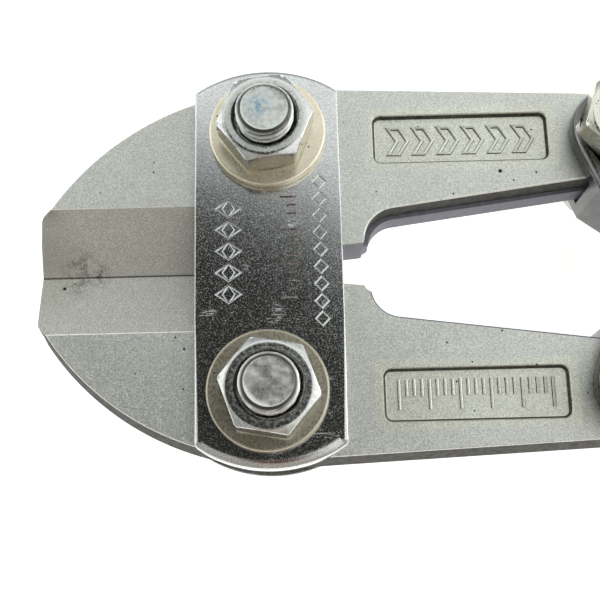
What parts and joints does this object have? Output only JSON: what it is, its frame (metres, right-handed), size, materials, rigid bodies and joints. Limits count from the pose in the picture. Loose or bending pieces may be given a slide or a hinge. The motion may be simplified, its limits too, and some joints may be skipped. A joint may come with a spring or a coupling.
{
  "type": "bolt cutters",
  "caption": "Compact centre-cut bolt cutters: two round-backed jaws between chromed plates, linked to a pair of long handles with dipped grips.",
  "frame": {"origin": "under the middle of the closed tool, on the plane the bolt heads rest on", "axes": "+X from the blades to the grips, +Y to the upper jaw, +Z to the nut side"},
  "size_m": [0.21, 0.058, 0.0285],
  "materials": {
    "blasted_steel": "satin silver over blasted forging",
    "chrome_plate": "bright plated, finely scratched",
    "bright_zinc": "bright zinc plated",
    "washer_zinc": "warm passivated zinc",
    "forged_handle": "satin plated forging",
    "grip_vinyl": "dipped vinyl"
  },
  "bodies": {
    "head": {"front_plate": "chrome_plate", "rear_plate": "chrome_plate", "upper_jaw_bolt": "bright_zinc", "lower_jaw_bolt": "bright_zinc", "upper_jaw_washer": "washer_zinc", "lower_jaw_washer": "washer_zinc", "upper_jaw_nut": "bright_zinc", "lower_jaw_nut": "bright_zinc"},
    "upper_jaw_body": {"upper_jaw": "blasted_steel"},
    "lower_jaw_body": {"lower_jaw": "blasted_steel"},
    "upper_handle_body": {"upper_handle": "forged_handle", "upper_grip": "grip_vinyl", "upper_link_bolt": "bright_zinc", "upper_link_nut": "bright_zinc", "centre_bolt": "bright_zinc", "centre_nut": "bright_zinc", "centre_front_washer": "washer_zinc", "centre_rear_washer": "washer_zinc"},
    "lower_handle_body": {"lower_handle": "forged_handle", "lower_grip": "grip_vinyl", "lower_link_bolt": "bright_zinc", "lower_link_nut": "bright_zinc"}
  },
  "joints": [
    {"name": "upper_jaw_swing", "type": "hinge", "parent": "head", "child": "upper_jaw_body", "pos_m": [-0.0719, 0.0187, 0.0123], "axis": [0, 0, -1], "range_deg": [0, 7.5]},
    {"name": "lower_jaw_swing", "type": "hinge", "parent": "head", "child": "lower_jaw_body", "pos_m": [-0.0719, -0.0187, 0.0123], "axis": [0, 0, 1], "range_deg": [0, 7.5]},
    {"name": "upper_handle_swing", "type": "hinge", "parent": "upper_jaw_body", "child": "upper_handle_body", "pos_m": [-0.0207, 0.0185, 0.0123], "axis": [0, 0, 1], "range_deg": [0, 39.4]},
    {"name": "lower_handle_swing", "type": "hinge", "parent": "lower_jaw_body", "child": "lower_handle_body", "pos_m": [-0.0207, -0.0185, 0.0123], "axis": [0, 0, -1], "range_deg": [0, 39.5]}
  ],
  "couplings": [
    {"joint": "lower_handle_swing", "follows": "upper_handle_swing", "ratio": 1},
    {"joint": "upper_jaw_swing", "follows": "upper_handle_swing", "ratio": 0.189},
    {"joint": "lower_jaw_swing", "follows": "upper_handle_swing", "ratio": 0.189}
  ]
}
